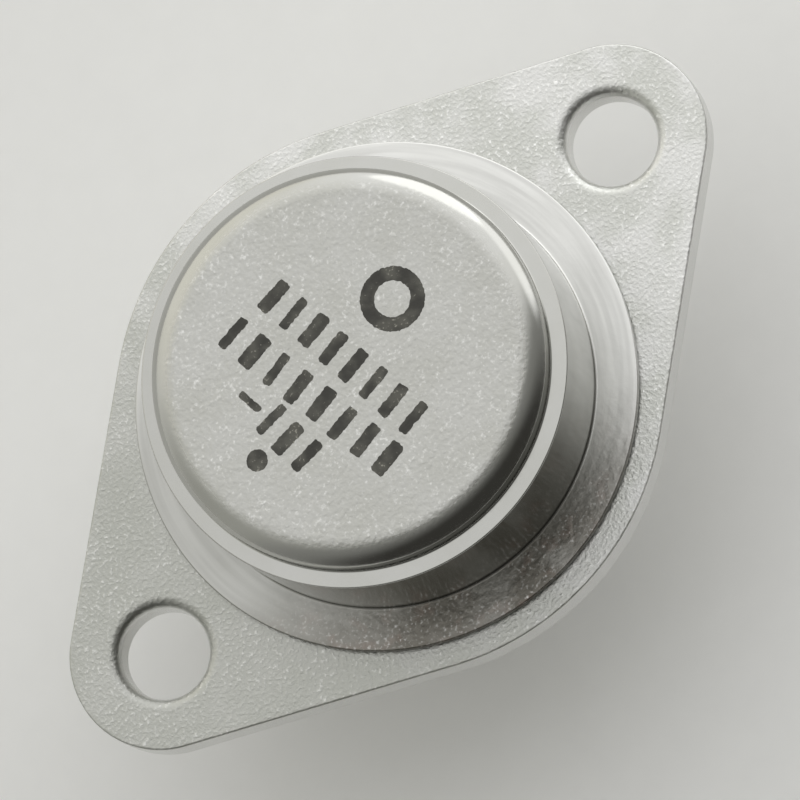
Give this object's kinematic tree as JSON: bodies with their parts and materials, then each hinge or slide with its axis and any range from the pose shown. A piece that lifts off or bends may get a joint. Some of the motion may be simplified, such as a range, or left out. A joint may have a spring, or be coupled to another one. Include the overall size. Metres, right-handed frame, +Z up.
{
  "type": "voltage regulator",
  "caption": "Voltage regulator in a stepped round steel can, welded to a rhombic base plate with screw holes, with straight glass-sealed leads below.",
  "frame": {"origin": "centre of the base plate's seating face, midway between the two mounting holes", "axes": "+X along the line of the mounting holes, +Y across the plate towards the output lead, +Z up along the can; the leads point -Z"},
  "size_m": [0.0388, 0.025, 0.0203],
  "materials": {
    "plate_nickel": "nickel plated, fine sparkling grain",
    "cap_nickel": "nickel plated, satin",
    "lead_metal": "nickel plated, drawn smooth",
    "seal_glass": "fused, glossy",
    "copper": "copper, satin",
    "braze": "silver braze, smooth",
    "solder": "solder, smooth",
    "ceramic": "fired, matt",
    "conductor_print": "printed and fired metal, satin",
    "resistor_print": "printed and glazed",
    "silicon": "polished silicon",
    "bond_wire": "drawn, bright"
  },
  "bodies": {
    "root": {"base_plate": "plate_nickel", "cap": "cap_nickel", "lead_input": "lead_metal", "lead_output": "lead_metal", "glass_seal_input": "seal_glass", "glass_seal_output": "seal_glass", "heat_spreader": "copper", "spreader_braze": "braze", "substrate_solder": "solder", "ceramic_substrate": "ceramic", "conductor_pads": "conductor_print", "sense_resistor": "resistor_print", "film_resistors": "resistor_print", "die_attach": "solder", "pass_transistor_chip": "silicon", "driver_transistor_chip": "silicon", "control_chip": "silicon", "input_bond_wires": "bond_wire", "emitter_bond_wires": "bond_wire", "output_bond_wires": "bond_wire", "ground_bond_wire": "bond_wire", "control_bond_wires": "bond_wire"}
  },
  "joints": []
}
